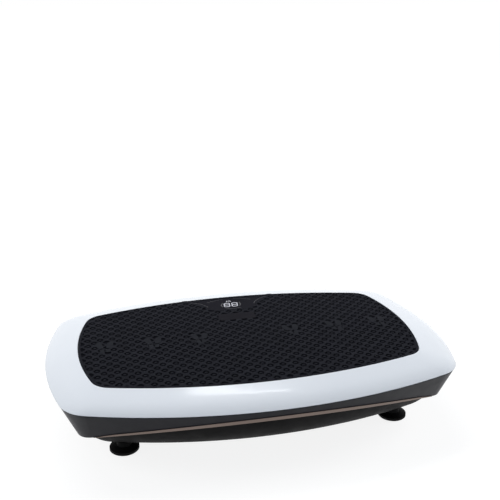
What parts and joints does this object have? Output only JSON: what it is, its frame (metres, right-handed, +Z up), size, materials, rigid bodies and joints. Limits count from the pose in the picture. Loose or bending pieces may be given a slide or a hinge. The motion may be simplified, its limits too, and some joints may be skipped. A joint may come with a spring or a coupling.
{
  "type": "vibration plate",
  "caption": "Oscillating vibration plate: crowned deck with anti-slip mat rocking on a belt-driven eccentric over a tray base with suction feet.",
  "frame": {"origin": "on the floor under the centre of the plate", "axes": "+X along the plate's length, +Y towards the edge with the display, +Z up"},
  "size_m": [0.6698, 0.4588, 0.118],
  "materials": {
    "white_cover": "glossy bluish white moulded cover",
    "mat_rubber": "black ribbed anti-slip rubber",
    "panel_plastic": "smooth black",
    "display_plastic": "smoked",
    "circuit_board": "green laminate",
    "skirt_plastic": "satin charcoal",
    "champagne_trim": "satin champagne lacquer",
    "pan_plastic": "fine black grain",
    "foot_rubber": "soft black",
    "zinc_steel": "zinc plated pressed sheet",
    "bright_steel": "ground",
    "fastener_steel": "zinc plated",
    "cast_metal": "as cast",
    "pulley_metal": "turned",
    "belt_rubber": "matt",
    "buffer_rubber": "matt",
    "post_plastic": "moulded",
    "motor_paint": "satin black",
    "magnet_ferrite": "sintered",
    "armature_steel": "laminated",
    "capacitor_sleeve": "shrink sleeve",
    "sink_aluminium": "extruded",
    "inlet_plastic": "moulded",
    "pin_brass": "bright",
    "rocker_plastic": "gloss black"
  },
  "bodies": {
    "base": {"base_pan": "pan_plastic", "foot_front_left": "foot_rubber", "foot_back_left": "foot_rubber", "foot_front_right": "foot_rubber", "foot_back_right": "foot_rubber", "foot_studs": "fastener_steel", "chassis_plate": "zinc_steel", "chassis_bolts": "fastener_steel", "pivot_stand_front": "cast_metal", "pivot_bearing_front": "bright_steel", "pivot_stand_back": "cast_metal", "pivot_bearing_back": "bright_steel", "crank_stand_front": "cast_metal", "crank_bearing_front": "bright_steel", "crank_stand_back": "cast_metal", "crank_bearing_back": "bright_steel", "stop_posts": "post_plastic", "stop_buffers": "buffer_rubber", "motor_can": "motor_paint", "motor_front_cap": "motor_paint", "motor_rear_cap": "motor_paint", "motor_magnets": "magnet_ferrite", "motor_bracket": "zinc_steel", "motor_saddle": "buffer_rubber", "drive_belt": "belt_rubber", "board_standoffs": "post_plastic", "driver_board": "circuit_board", "board_capacitors": "capacitor_sleeve", "heat_sink": "sink_aluminium", "power_inlet": "inlet_plastic", "inlet_pins": "pin_brass", "switch_housing": "inlet_plastic"},
    "deck": {"deck_cover": "white_cover", "anti_slip_mat": "mat_rubber", "display_panel": "panel_plastic", "led_module": "display_plastic", "display_board": "circuit_board", "deck_skirt": "skirt_plastic", "front_trim": "champagne_trim", "back_trim": "champagne_trim", "deck_frame": "zinc_steel", "pivot_bracket_front": "zinc_steel", "pivot_pin_front": "bright_steel", "pivot_bracket_back": "zinc_steel", "pivot_pin_back": "bright_steel", "link_bracket": "zinc_steel", "link_pin": "bright_steel", "cover_screws": "fastener_steel", "skirt_screws": "fastener_steel"},
    "crank": {"crank_shaft": "bright_steel", "driven_pulley": "pulley_metal"},
    "link": {"connecting_link": "cast_metal", "link_bearing": "bright_steel"},
    "rotor": {"motor_shaft": "bright_steel", "armature": "armature_steel", "drive_pulley": "pulley_metal"},
    "rocker": {"switch_rocker": "rocker_plastic"}
  },
  "joints": [
    {"name": "deck_rock", "type": "hinge", "parent": "base", "child": "deck", "pos_m": [0, 0, 0.066], "axis": [0, 1, 0], "range_deg": [-0.9, 0.9], "stiffness_Nm_per_rad": 600},
    {"name": "crank_spin", "type": "hinge", "parent": "base", "child": "crank", "pos_m": [0.08, 0, 0.0505], "axis": [0, 1, 0], "continuous": true},
    {"name": "link_turn", "type": "hinge", "parent": "crank", "child": "link", "pos_m": [0.08, 0, 0.04925], "axis": [0, 1, 0], "continuous": true},
    {"name": "rotor_spin", "type": "hinge", "parent": "base", "child": "rotor", "pos_m": [-0.11, 0, 0.055], "axis": [0, 1, 0], "continuous": true},
    {"name": "switch_press", "type": "hinge", "parent": "base", "child": "rocker", "pos_m": [0.034, 0.162, 0.052], "axis": [1, 0, 0], "range_deg": [0, 20]}
  ],
  "couplings": [
    {"joint": "link_turn", "follows": "crank_spin", "ratio": -1},
    {"joint": "rotor_spin", "follows": "crank_spin", "ratio": 2}
  ]
}
